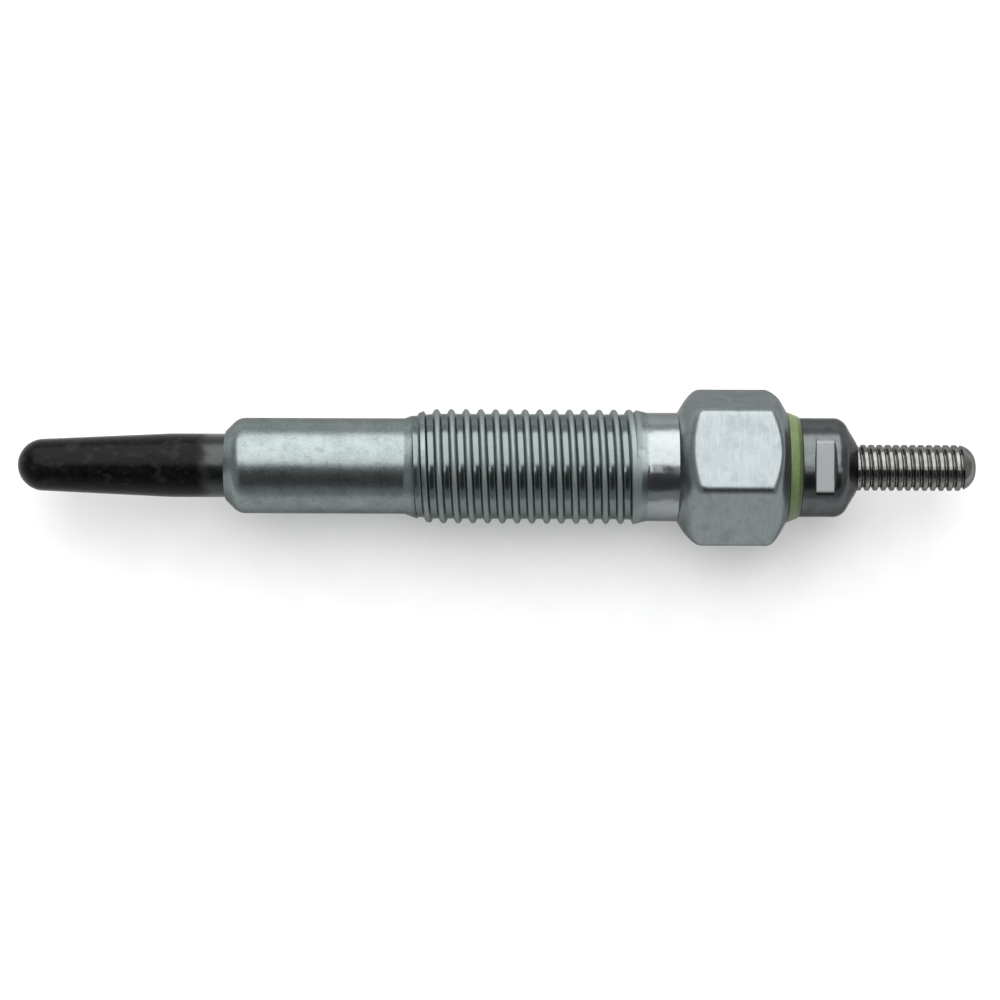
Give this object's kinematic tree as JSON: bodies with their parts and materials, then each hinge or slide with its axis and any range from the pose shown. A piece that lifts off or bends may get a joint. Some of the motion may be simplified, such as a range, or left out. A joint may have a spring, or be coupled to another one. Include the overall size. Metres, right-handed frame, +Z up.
{
  "type": "diesel glow plug",
  "caption": "Slim diesel glow plug: dark tapered heater sheath, plated steel housing with thread and hexagon, green insulating ring, crimped round nut and threaded terminal.",
  "frame": {"origin": "on the plug's axis, where the conical sealing face meets the plain barrel", "axes": "X along the plug's axis, heater tip towards -X and terminal towards +X; Z up, with the plug lying on a flat of its hexagon"},
  "size_m": [0.0812, 0.0136, 0.012],
  "materials": {
    "plated_steel": "satin",
    "sheath_alloy": "matte",
    "coil_wire": "satin",
    "magnesia": "matte",
    "seal_rubber": "matte",
    "rod_steel": "satin",
    "o_ring_rubber": "matte",
    "green_plastic": "satin",
    "nut_steel": "satin"
  },
  "bodies": {
    "root": {"housing": "plated_steel", "heater_sheath": "sheath_alloy", "heating_coil": "coil_wire", "control_coil": "coil_wire", "magnesia_fill": "magnesia", "sheath_seal": "seal_rubber", "centre_rod": "rod_steel", "o_ring": "o_ring_rubber", "insulating_bush": "green_plastic", "round_nut": "nut_steel"}
  },
  "joints": []
}
